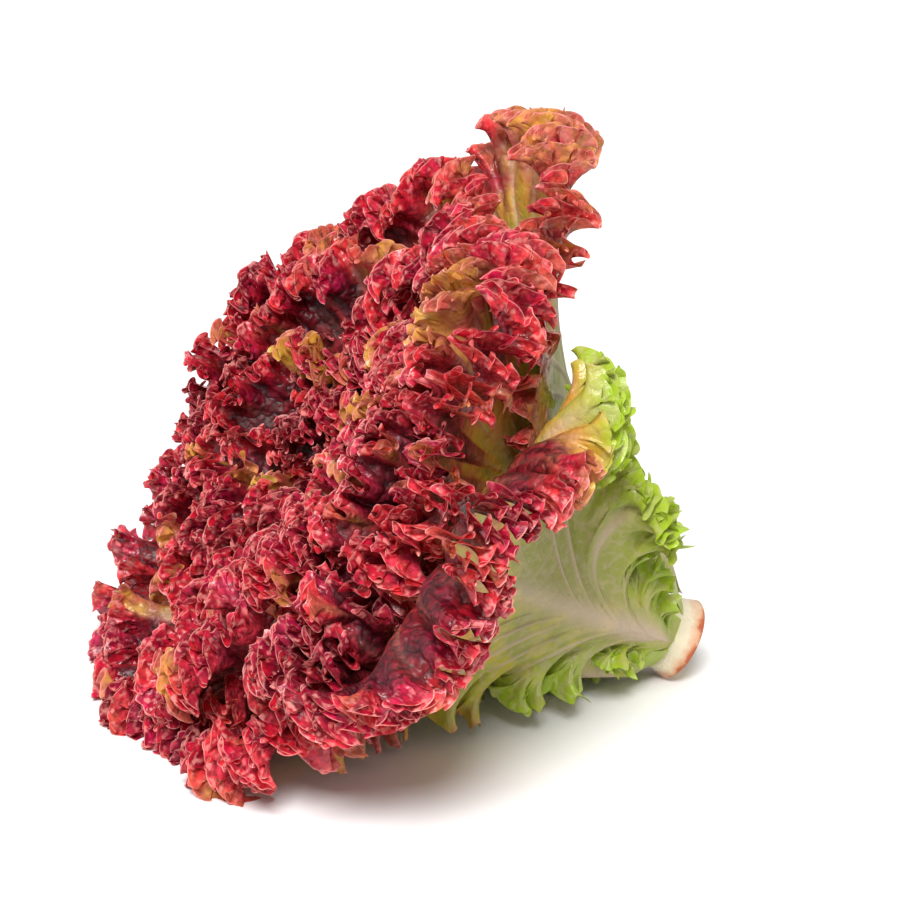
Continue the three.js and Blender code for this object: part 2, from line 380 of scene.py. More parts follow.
def leaf_grid(plan, sheet, edge, run):
    """The smooth leaf's points, on columns from the midrib to the given places along the edge."""
    normals = backs(sheet)
    across = np.interp(run, edge.run, edge.across)
    along = np.interp(run, edge.run, edge.along)
    spine = np.interp(run, edge.run, edge.spine)
    share = np.linspace(0, 1, COLUMN_SAMPLES)[:, None]
    line = sheet_point(sheet, across * share, spine + (along - spine) * share ** VEIN_SWEEP)
    line_run = path_length(line)
    length = line_run[-1] - np.interp(run, edge.run, edge.notch)
    depths = row_depths(plan, length)
    shares = line_shares(line_run, length - depths)
    along_here = spine + (along - spine) * shares ** VEIN_SWEEP
    points = sheet_point(sheet, across * shares, along_here)
    back = unit(sheet_point(normals, across * shares, along_here))
    outwards = np.gradient(points, axis=0)
    outwards = unit(outwards - np.sum(outwards * back, axis=-1, keepdims=True) * back)
    pitch = np.linalg.norm(np.gradient(points, axis=1), axis=-1) / np.gradient(run)
    rib_offset = points - sheet_point(sheet, 0 * shares, along_here)
    return SimpleNamespace(
        points=points,
        back=back,
        outwards=outwards,
        sideways=np.cross(outwards, back),
        depths=depths,
        run=run,
        edge_along=along,
        along=np.clip(along_here, 0, 1),
        rib_distance=np.linalg.norm(rib_offset, axis=-1),
        vein_spacing=VEIN_PITCH * pitch,
    )


def turned(vectors, axes, angles):
    """Vectors turned about unit axes."""
    cosine, sine = np.cos(angles)[..., None], np.sin(angles)[..., None]
    lengthwise = np.sum(vectors * axes, axis=-1, keepdims=True) * axes
    return vectors * cosine + np.cross(axes, vectors) * sine + lengthwise * (1 - cosine)


def fold(leaf, depths, phase, reach, tilt, turn, swing):
    """Folds a wave into the leaf. Each line to the edge bends to and fro by up to tilt radians at the
    edge, fading to nothing at a depth of reach, and swings sideways, which makes the folds overhang.
    The directions that the next wave builds on turn with the surface, by up to turn radians."""
    growth = np.clip(1 - depths / reach, 0, 1)
    lean = -tilt * growth * np.sin(phase)
    steps = np.diff(leaf.points, axis=0)
    middle = unit(leaf.sideways[1:] + leaf.sideways[:-1])
    steps = turned(steps, middle, (lean[1:] + lean[:-1]) / 2)
    bent = np.concatenate([leaf.points[:1], leaf.points[:1] + np.cumsum(steps, axis=0)])
    swings = -swing * growth * np.sin(2 * phase)
    outwards = turned(leaf.outwards, leaf.sideways, lean)
    sideways = turned(leaf.sideways, outwards, -turn * growth * np.cos(phase))
    return SimpleNamespace(points=bent + leaf.sideways * swings[..., None],
                           sideways=sideways, outwards=outwards)


def wave_course(rng, run, edge_run, wave, scale):
    """How a wave runs along the edge: its phase, its strength and how it slants towards the edge."""
    length = wave.length * scale
    jitter = wave.jitter * wander(rng, edge_run, WAVE_DRIFT.jitter * length)
    return dict(
        run=run,
        phase=2 * math.pi * (edge_run / length + jitter + rng.uniform()),
        strength=1 + wave.variety * wander(rng, edge_run, WAVE_DRIFT.strength * length),
        slant=wave.skew * wander(rng, edge_run, WAVE_DRIFT.slant * length),
    )


def tooth_course(rng, run, edge_run, scale):
    """The teeth along the edge: uneven points of up to 1 with hollows between them."""
    pitch = TOOTH_PITCH * scale
    spacing_drift, height_drift = TOOTH_DRIFT
    phase = edge_run / pitch + TOOTH_JITTER * wander(rng, edge_run, spacing_drift * pitch)
    mean, variation = TOOTH_SHARES
    height = mean + variation * wander(rng, edge_run, height_drift * pitch)
    return dict(run=run, height=height * np.abs(2 * (phase % 1) - 1) ** TOOTH_SHARPNESS)


def followed(course, run):
    """A course's values at other places along the edge."""
    return {key: np.interp(run, course["run"], value) for key, value in course.items()}


def cup_tilt(plan, grid, course):
    """How far the rim turns towards the heart or, where this is below 0, rolls back."""
    edge_height = grid.points[-1, :, 2]
    tilt = plan.cup_tilt + CUP_VARIETY * followed(course, grid.run)["tilt"]
    tilt = tilt * smooth(edge_height, *CUP_CLEARANCE)
    return tilt - plan.back_tilt * smooth(edge_height, *BACK_CLEARANCE)


def tooth_rise(plan, grid, course):
    """How far the teeth push each point outwards."""
    long_teeth, short_teeth = TOOTH_LENGTH
    size = long_teeth + (short_teeth - long_teeth) * smooth(grid.edge_along, *TOOTH_SHORTENING)
    height = followed(course, grid.run)["height"] * size * plan.frill_scale
    return height * np.clip(1 - grid.depths / (TOOTH_REACH * plan.frill_scale), 0, 1)


def frilled(plan, grid, courses):
    """Folds lobes, waves and teeth into the leaf. A draft leaf fills in the courses, and the final
    leaf, whose columns are elsewhere, follows them."""
    rng = plan.rng
    scale = plan.frill_scale
    growing = smooth(grid.edge_along, *FRILL_START)
    draft = not courses
    leaf = SimpleNamespace(points=grid.points, sideways=grid.sideways, outwards=grid.outwards)

    if draft:
        courses["lobes"] = dict(run=grid.run, height=wander(rng, grid.run, LOBE_PITCH))
    lobes = followed(courses["lobes"], grid.run)["height"] * smooth(-grid.depths, -LOBE_REACH, 0)
    leaf.points = leaf.points + grid.back * (LOBE_HEIGHT * lobes)[..., None]

    if draft:
        courses["cup"] = dict(run=grid.run, tilt=wander(rng, grid.run, CUP_PITCH))
    cup = growing * cup_tilt(plan, grid, courses["cup"])
    leaf = fold(leaf, grid.depths, math.pi / 2, plan.cup_reach * scale, cup, 0, 0)
    for number, wave in enumerate(WAVES):
        if draft:
            edge_run = path_length(leaf.points[-1])
            courses[number] = wave_course(rng, grid.run, edge_run, wave, scale)
        course = followed(courses[number], grid.run)
        reach = np.minimum(wave.reach * scale, REACH_SHARE * grid.depths[0])
        tilt = wave.tilt * course["strength"] * growing
        leaf = fold(leaf, grid.depths, course["phase"] + course["slant"] * grid.depths / reach,
                    reach, tilt, wave.turn * growing, wave.swing * scale * growing)

    if draft:
        courses["teeth"] = tooth_course(rng, grid.run, path_length(leaf.points[-1]), scale)
    teeth = growing * tooth_rise(plan, grid, courses["teeth"])
    leaf.points = leaf.points + leaf.outwards * teeth[..., None]
    return leaf


def head_place(points):
    """The height, the distance from the axis and the azimuth that head_point takes for points."""
    offset = points - BUTT_CENTRE
    azimuth = np.arctan2(offset @ TOP, offset @ SIDE)
    height = offset @ AXIS
    lean = TOP_LEAN * np.maximum(0, np.sin(azimuth)) ** 2 * np.clip(height / LEAN_HEIGHT, 0, 1)
    radius = np.hypot(offset @ TOP, offset @ SIDE)
    return height / (1 - lean), radius / (1 + lean), azimuth


def tucked(plan, points):
    """Presses a leaf inwards where it would cut through the blade of a leaf further out."""
    height, radius, azimuth = head_place(points)
    excess = np.zeros_like(radius)
    even = np.linspace(0, 1, SHEET_ROWS)
    for index in range(plan.index):
        outer = leaf_plan(index)
        heights, radii = side_view(outer)
        along = np.interp(height, heights, even)
        outer_radius = np.interp(height, heights, radii)
        away = np.abs((azimuth - outer.azimuth + math.pi) % (2 * math.pi) - math.pi)
        across = np.minimum(1, away / half_angle(outer, along, outer_radius))
        share = 1 - SHOULDER_DROP * across ** SHOULDER_POWER
        reach = (across ** OUTLINE_POWER + (along / share) ** OUTLINE_POWER) ** (1 / OUTLINE_POWER)
        covered = smooth((1 - reach) * outer.length, *TUCK_FROM)
        gap = TUCK_GAP * smooth(along, *TUCK_GAP_START)
        excess = np.maximum(excess, covered * (radius - outer_radius + gap))
    inwards = -(np.cos(azimuth)[..., None] * SIDE + np.sin(azimuth)[..., None] * TOP)
    return points + inwards * excess[..., None]


def columns(plan, sheet, edge, courses):
    """Places of the leaf's columns along its smooth edge, evenly spaced along the folded edge."""
    draft_run = np.linspace(0, edge.run[-1], round(edge.run[-1] / DRAFT_PITCH))
    draft = leaf_grid(plan, sheet, edge, draft_run)
    folded = path_length(frilled(plan, draft, courses).points[-1])
    effort = folded + SMOOTH_WEIGHT * draft_run
    count = COARSEST * math.ceil(effort[-1] / (FOLDED_PITCH * COARSEST))
    return np.interp(np.linspace(0, effort[-1], count + 1), effort, draft_run)


def rib_mask(grid):
    """1 on the midrib's ridge, fading to 0 beside it."""
    foot, tip = RIB_HALF_WIDTH
    return np.exp(-(grid.rib_distance / (foot + (tip - foot) * grid.along)) ** 2)


def vein_mask(plan, grid):
    """1 on the ridges of the side veins, fading to 0 beside them and near the leaf's edge."""
    spacing = VEIN_JITTER * wander(plan.rng, grid.run, VEIN_DRIFT * VEIN_PITCH)
    veins = grid.run / VEIN_PITCH + spacing
    distance = np.abs(veins % 1 - 0.5) * grid.vein_spacing
    inside = smooth(grid.depths, 0, VEIN_FADE) * smooth(grid.vein_spacing, *VEIN_CROWDING)
    return np.exp(-(distance / VEIN_HALF_WIDTH) ** 2) * inside * (1 - rib_mask(grid))


def veined_points(plan, grid, points, veins):
    """Raises the midrib and the side veins on the leaf's back."""
    swelling = smooth(grid.along, 0, RIB_START)
    rib = plan.rib_height * (1 - grid.along) ** RIB_FADE * swelling * rib_mask(grid)
    return points + grid.back * (rib + VEIN_HEIGHT * veins)[..., None]


def rested(points):
    """Keeps the leaf above the floor, flattening it gently where it comes near."""
    height = points[..., 2]
    above = (height + np.sqrt(height ** 2 + FLOOR_SOFTNESS ** 2)) / 2
    return np.concatenate([points[..., :2], above[..., None]], axis=-1)


def thinned_faces(thinning, columns):
    """Faces of a grid whose rows use every n-th column, as quads and triangles."""
    quads, triangles = [], []
    index = np.arange(len(thinning) * columns).reshape(len(thinning), columns)
    for row in range(len(thinning) - 1):
        low, high = thinning[row], thinning[row + 1]
        inner, outer = index[row, ::low], index[row + 1, ::high]
        if low == high:
            quads.append(np.stack([inner[1:], inner[:-1], outer[:-1], outer[1:]], axis=1))
            continue
        start, middle, end = outer[:-1:2], outer[1::2], outer[2::2]
        triangles.append(np.stack([middle, inner[:-1], start], axis=1))
        triangles.append(np.stack([inner[1:], inner[:-1], middle], axis=1))
        triangles.append(np.stack([end, inner[1:], middle], axis=1))
    return np.concatenate(quads), np.concatenate(triangles or [np.zeros((0, 3), dtype=int)])


def grid_uv(across, along):
    """A UV map from the places of a grid's columns and rows."""
    return np.stack(np.broadcast_arrays(across, along[:, None]), axis=-1)


def grid_mesh(name, points, thinning, uv, values):
    """A mesh object from a grid of points, with a UV map and one float attribute per entry of values."""
    columns = points.shape[1]
    quads, triangles = thinned_faces(thinning, columns)
    corners = np.concatenate([quads.ravel(), triangles.ravel()])
    used = np.unique(corners)
    renumber = np.zeros(points[..., 0].size, dtype=np.int32)
    renumber[used] = np.arange(len(used))
    sizes = np.concatenate([np.full(len(quads), 4), np.full(len(triangles), 3)])
    starts = np.cumsum(sizes) - sizes

    mesh = bpy.data.meshes.new(name)
    mesh.vertices.add(len(used))
    mesh.vertices.foreach_set("co", points.reshape(-1, 3)[used].astype(np.float32).ravel())
    mesh.loops.add(len(corners))
    mesh.loops.foreach_set("vertex_index", renumber[corners])
    mesh.polygons.add(len(starts))
    mesh.polygons.foreach_set("loop_start", starts.astype(np.int32))
    mesh.polygons.foreach_set("use_smooth", np.ones(len(starts), dtype=bool))
    mesh.update(calc_edges=True)
    layer = mesh.uv_layers.new(name="OFBake")
    layer.data.foreach_set("uv", uv.reshape(-1, 2)[corners].astype(np.float32).ravel())
    for key, value in values.items():
        attribute = mesh.attributes.new(key, "FLOAT", "POINT")
        full = np.broadcast_to(value, points.shape[:2])
        attribute.data.foreach_set("value", full.ravel()[used].astype(np.float32))
    piece = bpy.data.objects.new(name, mesh)
    bpy.context.scene.collection.objects.link(piece)
    return piece


# ---- materials ----

class Material:
    """A material and short ways to add nodes to it."""

    def __init__(self, name):
        self.material = bpy.data.materials.new(name)
        self.material.use_nodes = True
        self.tree = self.material.node_tree
        self.tree.nodes.clear()

    def add(self, kind, **inputs):
        """Adds a node. An input is a number or colour, or another node's output socket."""
        node = self.tree.nodes.new("ShaderNode" + kind)
        for name, value in inputs.items():
            self.put(node.inputs[name.replace("_", " ")], value)
        return node

    def put(self, socket, value):
        if isinstance(value, bpy.types.NodeSocket):
            self.tree.links.new(value, socket)
        else:
            socket.default_value = value

    def attribute(self, name):
        node = self.add("Attribute")
        node.attribute_name = name
        return node.outputs["Fac"]

    def math(self, operation, first, second=0.0):
        node = self.add("Math")
        node.operation = operation
        self.put(node.inputs[0], first)
        self.put(node.inputs[1], second)
        return node.outputs[0]

    def spread(self, value, low, high, to_low=0.0, to_high=1.0):
        """Maps a value from one range to another, smoothly and clamped."""
        node = self.add("MapRange")
        node.interpolation_type = "SMOOTHSTEP"
        for socket, number in zip(node.inputs, (value, low, high, to_low, to_high)):
            self.put(socket, number)
        return node.outputs[0]

    def mix(self, share, first, second, blend="MIX"):
        node = self.add("Mix")
        node.data_type = "RGBA"
        node.blend_type = blend
        self.put(node.inputs["Factor"], share)
        for socket, value in zip(node.inputs[6:8], (first, second)):
            self.put(socket, value if isinstance(value, bpy.types.NodeSocket) else (*value, 1))
        return node.outputs[2]

    def ramp(self, value, stops):
        node = self.add("ValToRGB", Fac=value)
        elements = node.color_ramp.elements
        while len(elements) < len(stops):
            elements.new(0.5)
        for element, (place, colour) in zip(elements, stops):
            element.position = place
            element.color = (*colour, 1)
        return node.outputs["Color"]

    def place(self):
        return self.add("TexCoord").outputs["Object"]

    def noise(self, size, detail=2.0, output="Fac"):
        """Noise whose blobs are about the given size across."""
        node = self.add("TexNoise", Vector=self.place(), Scale=1 / size, Detail=detail)
        return node.outputs[output]

    def output(self, shader):
        self.add("OutputMaterial", Surface=shader)
        return self.material


LEAF_COLOURS = (
    (0.00, (0.33, 0.33, 0.07)),
    (0.18, (0.52, 0.46, 0.05)),
    (0.34, (0.66, 0.36, 0.05)),
    (0.50, (0.50, 0.15, 0.08)),
    (0.66, (0.59, 0.036, 0.042)),
    (0.82, (0.40, 0.008, 0.023)),
    (1.00, (0.15, 0.002, 0.012)),
)
# the colour of the painted highlights along the edge and near it
RIM_HIGHLIGHT_COLOUR = (0.95, 0.38, 0.34)
RIB_COLOUR = (0.64, 0.46, 0.38)
BACK_COLOUR = (0.50, 0.06, 0.10)
MAGENTA = (0.46, 0.012, 0.075)
LIME = (0.36, 0.52, 0.03)
LIT_THROUGH = (1.3, 1.15, 1.0)           # light that comes through the blade is this much warmer

REDDENED = (0.3, 0.7)                    # redness over which the look of the red parts sets in
MOTTLE_SIZE = 8 * MM
MOTTLE_STRENGTH = 0.7                    # in redness, as is the next one
PATCH_SIZE = 40 * MM
PATCH_STRENGTH = 0.5
MAGENTA_SIZE = 12 * MM
MAGENTA_FROM = (0.45, 0.7)               # noise values, as are all such pairs after a size
MAGENTA_STRENGTH = 0.6
BACK_STRENGTH = 0.25

BLOTCH_SIZE = 2.5 * MM
BLOTCH_FROM = (0.3, 0.72)
BLOTCH_TONE_AND_PAINTED_LIGHT = (0.62, 1.65)             # darkest, brightest: uneven tone that also serves as painted shade and painted highlights
# Painted shade: the red parts grow darker away from the edge, deep in the frills.
PAINTED_SHADE_DEPTHS = (3 * MM, 15 * MM)         # from the edge, over which the painted shade sets in
PAINTED_SHADES = (1.05, 0.35)
# Creases: raised in the bump, and darkened with painted shade deep in the frills.
CREASE_SIZE = 7 * MM
CREASE_WIDTH = 0.07                      # in noise values
PAINTED_CREASE_SHADE = 0.35
PAINTED_CREASE_DEPTHS = (6 * MM, 14 * MM)        # from the edge, over which the painted shade along the creases sets in
CREASE_RISE_DEPTHS = (2 * MM, 6 * MM)    # and over which they deepen
CREASE_RISE = (3, 12)                    # in bump distances

BLISTER_SIZE = 3.2 * MM                  # between the finest veins
BLISTER_WARP_SIZE = 5 * MM
BLISTER_WARP = (3 * MM, 3 * MM, 3 * MM)
FINE_VEIN_FROM = (0.15, 0.5)             # of the blisters' squared distance
FINE_VEIN_REDNESS = (0.1, 0.5)           # over which the fine veins vanish
FINE_VEIN_STRENGTH = 0.25
RIB_REDNESS = (0.25, 0.6)                # over which the ribs lose their paleness
RIB_STRENGTHS = (1, 0.1)

# Painted highlights: a pale rim where the edge catches the light, and pale flecks near the edge.
RIM_HIGHLIGHT_WIDTH = 0.45 * MM
RIM_HIGHLIGHT_REDNESS = (0.1, 0.4)                 # over which the painted rim highlight sets in
RIM_BREAK_SIZE = 4 * MM
RIM_BREAK_FROM = (0.3, 0.6)
HIGHLIGHT_FLECK_SIZE = 2.2 * MM
HIGHLIGHT_FLECK_FROM = (0.5, 0.72)
HIGHLIGHT_FLECK_DEPTHS = (1 * MM, 8 * MM)          # from the edge, over which the painted highlight flecks fade
HIGHLIGHT_FLECK_STRENGTH = 0.7

GRAIN_SIZE = 1.8 * MM
BUMP_DISTANCE = 0.35 * MM
SHINE_SIZE = 9 * MM
SHINE_FROM = (0.35, 0.65)
SHINE = (0.27, 0.42)                     # roughness, least and most
DULL_DEPTHS = (6 * MM, 18 * MM)          # from the edge, over which the leaf grows duller
DULLNESS = 0.16
LEAF_IOR = 1.5
TRANSLUCENCE = 0.22


def leaf_colour(paint, redness, reddened):
    """The colour by redness, mottled, with magenta spots and another tone on the back."""
    mottle = paint.math("SUBTRACT", paint.noise(MOTTLE_SIZE, detail=3), 0.5)
    patches = paint.math("SUBTRACT", paint.noise(PATCH_SIZE, detail=1), 0.5)
    tone = paint.math("ADD", redness, paint.math("MULTIPLY", mottle, MOTTLE_STRENGTH))
    tone = paint.math("ADD", tone, paint.math("MULTIPLY", patches, PATCH_STRENGTH))
    colour = paint.ramp(tone, LEAF_COLOURS)
    colour = paint.mix(paint.attribute("lime"), colour, LIME)
    spots = paint.spread(paint.noise(MAGENTA_SIZE, detail=2), *MAGENTA_FROM)
    spots = paint.math("MULTIPLY", spots, reddened)
    colour = paint.mix(paint.math("MULTIPLY", spots, MAGENTA_STRENGTH), colour, MAGENTA)
    back = paint.math("MULTIPLY", paint.add("NewGeometry").outputs["Backfacing"], reddened)
    return paint.mix(paint.math("MULTIPLY", back, BACK_STRENGTH), colour, BACK_COLOUR)


def with_painted_shade(paint, colour, reddened, depth, crease):
    """Painted shade on the red parts: darker away from the edge, deep in the frills, and dark along
    creases; also blotches of uneven tone that serve partly as painted highlights and shade.
    """
    # blotches of uneven tone, whose lightest and darkest serve as painted highlights and shade
    shade = paint.spread(paint.noise(BLOTCH_SIZE, detail=3), *BLOTCH_FROM, *BLOTCH_TONE_AND_PAINTED_LIGHT)
    # painted shade, darker away from the edge
    shade = paint.math("MULTIPLY", shade, paint.spread(depth, *PAINTED_SHADE_DEPTHS, *PAINTED_SHADES))
    # painted shade along the creases, deep in the frills
    dark = paint.math("MAXIMUM", paint.spread(crease, 0, CREASE_WIDTH, PAINTED_CREASE_SHADE, 1),
                      paint.spread(depth, *PAINTED_CREASE_DEPTHS, 1, 0))
    shade = paint.math("MULTIPLY", shade, dark)
    grey = paint.add("CombineColor", Red=shade, Green=shade, Blue=shade).outputs[0]
    return paint.mix(reddened, colour, grey, "MULTIPLY")


def blisters(paint):
    """0 in the middle of each field between the finest veins, rising towards them."""
    warped = paint.add("VectorMath")
    warped.operation = "MULTIPLY_ADD"
    paint.put(warped.inputs[0], paint.noise(BLISTER_WARP_SIZE, detail=1, output="Color"))
    warped.inputs[1].default_value = BLISTER_WARP
    paint.put(warped.inputs[2], paint.place())
    cells = paint.add("TexVoronoi", Vector=warped.outputs[0], Scale=1 / BLISTER_SIZE)
    return paint.math("MULTIPLY", cells.outputs["Distance"], cells.outputs["Distance"])


def ribbed(paint, colour, redness, blister):
    """Pale ribs, and pale fine veins on the green parts."""
    greenness = paint.spread(redness, *FINE_VEIN_REDNESS, FINE_VEIN_STRENGTH, 0)
    veins = paint.math("MULTIPLY", paint.spread(blister, *FINE_VEIN_FROM), greenness)
    strength = paint.spread(redness, *RIB_REDNESS, *RIB_STRENGTHS)
    ribs = paint.math("MULTIPLY", paint.attribute("rib"), strength)
    return paint.mix(paint.math("MAXIMUM", ribs, veins), colour, RIB_COLOUR)


def with_painted_highlights(paint, colour, redness, reddened, depth):
    """Painted highlights: a thin broken pale rim where the edge catches the light, and pale flecks near
    the edge.
    """
    # painted highlight along the edge, where it catches the light
    rim = paint.math("MULTIPLY", paint.spread(depth, 0, RIM_HIGHLIGHT_WIDTH, 1, 0),
                     paint.spread(redness, *RIM_HIGHLIGHT_REDNESS))
    breaks = paint.spread(paint.noise(RIM_BREAK_SIZE, detail=1), *RIM_BREAK_FROM)
    rim = paint.math("MULTIPLY", rim, breaks)
    # pale flecks near the edge: painted highlights
    flecks = paint.math("MULTIPLY", paint.spread(paint.noise(HIGHLIGHT_FLECK_SIZE, detail=1), *HIGHLIGHT_FLECK_FROM),
                        paint.spread(depth, *HIGHLIGHT_FLECK_DEPTHS, HIGHLIGHT_FLECK_STRENGTH, 0))
    rim = paint.math("MAXIMUM", rim, paint.math("MULTIPLY", flecks, reddened))
    return paint.mix(rim, colour, RIM_HIGHLIGHT_COLOUR)


def leaf_bump(paint, reddened, depth, crease, blister):
    """Grain and blisters all over, and creases in the red parts."""
    height = paint.math("SUBTRACT", paint.noise(GRAIN_SIZE, detail=2), blister)
    rise = paint.math("MULTIPLY", crease, paint.spread(depth, *CREASE_RISE_DEPTHS, *CREASE_RISE))
    height = paint.math("ADD", height, paint.math("MULTIPLY", rise, reddened))
    bump = paint.add("Bump", Height=height)
    bump.inputs["Distance"].default_value = BUMP_DISTANCE
    return bump.outputs[0]


def leaf_material():
    """A leaf that runs from pale green over bronze to crimson, and lets some light through."""
    paint = Material("leaf")
    redness = paint.attribute("redness")
    depth = paint.attribute("depth")
    reddened = paint.spread(redness, *REDDENED)
    # noise whose low values are creases, for the bump and for painted shade
    crease = paint.math("ABSOLUTE", paint.math("SUBTRACT", paint.noise(CREASE_SIZE, detail=2), 0.5))
    blister = blisters(paint)
    colour = leaf_colour(paint, redness, reddened)
    colour = with_painted_shade(paint, colour, reddened, depth, crease)
    colour = ribbed(paint, colour, redness, blister)
    colour = with_painted_highlights(paint, colour, redness, reddened, depth)

    bump = leaf_bump(paint, reddened, depth, crease, blister)
    shine = paint.spread(paint.noise(SHINE_SIZE, detail=2), *SHINE_FROM, *SHINE)
    shine = paint.math("ADD", shine, paint.spread(depth, *DULL_DEPTHS, 0, DULLNESS))
    surface = paint.add("BsdfPrincipled", Base_Color=colour, Roughness=shine, Normal=bump)
    surface.inputs["IOR"].default_value = LEAF_IOR
    through = paint.mix(1.0, colour, LIT_THROUGH, "MULTIPLY")
    glow = paint.add("BsdfTranslucent", Color=through, Normal=bump)
    both = paint.add("MixShader", Fac=TRANSLUCENCE)
    paint.put(both.inputs[1], surface.outputs[0])
    paint.put(both.inputs[2], glow.outputs[0])
    return paint.output(both.outputs[0])


CUT_COLOURS = (
    (0.00, (0.70, 0.62, 0.36)),
    (0.45, (0.66, 0.58, 0.34)),
    (0.80, (0.60, 0.36, 0.14)),
    (1.00, (0.42, 0.13, 0.03)),
)
STEM_COLOURS = (
    (0.00, (0.40, 0.09, 0.03)),
    (0.10, (0.62, 0.34, 0.20)),
    (0.30, (0.72, 0.62, 0.46)),
    (1.00, (0.66, 0.66, 0.42)),
)
STEM_MOTTLE_SIZE = 5 * MM
STEM_MOTTLE_STRENGTH = 0.5               # as a share of the colour ramps
STEM_GRAIN_SIZE = 1.5 * MM
STEM_BUMP_DISTANCE = 0.4 * MM
STEM_ROUGHNESS = 0.5
STEM_IOR = 1.4


def stem_material():
    """The stump: a browned cut face with a pith, and a pale side that browns at the cut."""
    paint = Material("stem")
    uneven = paint.math("SUBTRACT", paint.noise(STEM_MOTTLE_SIZE, detail=3), 0.5)
    uneven = paint.math("MULTIPLY", uneven, STEM_MOTTLE_STRENGTH)
    cut = paint.ramp(paint.math("ADD", paint.attribute("from_pith"), uneven), CUT_COLOURS)
    side = paint.ramp(paint.math("ADD", paint.attribute("from_cut"), uneven), STEM_COLOURS)
    colour = paint.mix(paint.attribute("on_cut"), side, cut)
    bump = paint.add("Bump", Height=paint.noise(STEM_GRAIN_SIZE, detail=3))
    bump.inputs["Distance"].default_value = STEM_BUMP_DISTANCE
    surface = paint.add("BsdfPrincipled", Base_Color=colour, Normal=bump.outputs[0])
    surface.inputs["Roughness"].default_value = STEM_ROUGHNESS
    surface.inputs["IOR"].default_value = STEM_IOR
    return paint.output(surface.outputs[0])


# ---- pieces ----


def redness(plan, grid, points):
    """0 is pale green, 1 is dark crimson."""
    growing = smooth(grid.along, *plan.reddening)
    near, far = FRILL_RED_DEPTHS
    frill = smooth(-grid.depths, -far, -near)
    drift = wander(plan.rng, grid.run, RED_DRIFT_PITCH)
    patch = plan.patchiness * smooth(wander(plan.rng, grid.run, PATCH_PITCH), *PATCH_SHARES)
    low = 1 - smooth(points[..., 2], *GREENING_FROM)
    bronze = (BRONZE + GREENING * low) * smooth(points[..., 0], *BRONZE_FROM)
    sheltered = 1 - smooth(points[..., 2], *SHELTERED_BELOW)
    bronze = np.maximum(bronze, SHELTERED * sheltered * smooth(points[..., 0], *SHELTERED_FROM))
    red = growing * (BLADE_RED + FRILL_RED * frill - np.maximum(bronze, patch))
    return red + RED_DRIFT * frill * drift


def leaf_values(plan, grid, points, veins):
    """What the leaf's material goes by, at every point."""
    red = redness(plan, grid, points)
    green, gone = LIME_REDNESS
    ribs = rib_mask(grid) * smooth(grid.depths, *RIB_EDGE_DEPTHS) * (1 - grid.along)
    return {
        "redness": red,
        "lime": np.exp(-grid.depths / LIME_DEPTH) * smooth(-red, -gone, -green),
        "depth": grid.depths,
        "rib": np.maximum(RIB_PALENESS * ribs, VEIN_PALENESS * veins),
    }


def add_leaf(index, material):
    plan = leaf_plan(index)
    sheet = bent_sheet(plan)
    edge = outline(plan, sheet)
    courses = {}
    grid = leaf_grid(plan, sheet, edge, columns(plan, sheet, edge, courses))
    veins = vein_mask(plan, grid)
    points = tucked(plan, frilled(plan, grid, courses).points)
    points = rested(veined_points(plan, grid, points, veins))
    uv = grid_uv(np.linspace(0, 1, points.shape[1]), np.linspace(0, 1, points.shape[0]))
    thinning = (COARSEST,) * plan.inner_rows + ROW_THINNING[::-1]
    values = leaf_values(plan, grid, points, veins)
    piece = grid_mesh(plan.name + "_frilled", points, thinning, uv, values)
    piece.data.materials.append(material)
    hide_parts(plan.name)
    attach(piece, "root")


CUT_DISH = 1.2 * MM                      # the cut face sinks this far in its middle
STEM_RINGS = 40
STEM_COLUMNS = 160
STEM_RIDGES = 5
STEM_RIDGE_HEIGHT = 0.5 * MM
STEM_RIDGE_START = 4 * MM                # from the cut, over which the ridges rise
STEM_RIDGE_TWIST = 0.12 / MM             # radians of their wave
CUT_ROUNDING = 0.3                       # share of the chamfer that the cut's rim is drawn in
CUT_RINGS = 14
BROWNING = 14 * MM                       # length over which the side's colour changes
RING_CROWDING = 1.5                      # above 1 sets the side's rings closer near the cut


def stem_profile():
    """Height and radius from the middle of the cut face over its rim to the stem's tip."""
    face = np.linspace(0, BUTT_RADIUS - BUTT_CHAMFER, CUT_RINGS)
    dish = CUT_DISH * (1 - (face / face[-1]) ** 2)
    side = STEM_LENGTH * np.linspace(0, 1, STEM_RINGS) ** RING_CROWDING
    side_radius = stem_radius(side)
    side_radius[0] -= BUTT_CHAMFER * CUT_ROUNDING
    tip = np.array([STEM_LENGTH])
    return np.concatenate([dish, side, tip]), np.concatenate([face, side_radius, 0 * tip])


def add_stem(material):
    heights, radii = stem_profile()
    azimuth = np.linspace(0, 2 * math.pi, STEM_COLUMNS + 1)
    rise = np.clip(heights / STEM_RIDGE_START, 0, 1)[:, None]
    phase = STEM_RIDGES * azimuth + STEM_RIDGE_TWIST * heights[:, None]
    ridges = STEM_RIDGE_HEIGHT * rise * np.sin(phase)
    radius = radii[:, None] - rise * STEM_RIDGE_HEIGHT + ridges * (radii > 0)[:, None]
    points = head_point(heights[:, None] + 0 * azimuth, np.maximum(radius, 0), azimuth + 0 * radius)
    rows = len(heights)
    uv = grid_uv(azimuth / (2 * math.pi), np.linspace(0, 1, rows))
    on_cut = (np.arange(rows) < CUT_RINGS)[:, None]
    values = {
        "on_cut": on_cut,
        "from_pith": np.where(on_cut, radii[:, None] / BUTT_RADIUS, 1),
        "from_cut": np.clip(heights / BROWNING, 0, 1)[:, None],
    }
    piece = grid_mesh("stem_detailed", points, (1,) * rows, uv, values)
    piece.data.materials.append(material)
    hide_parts("stem")
    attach(piece, "root")


leaf = leaf_material()
add_stem(stem_material())
for index in range(LEAF_COUNT):
    add_leaf(index, leaf)

# ---- stage, light and camera ----

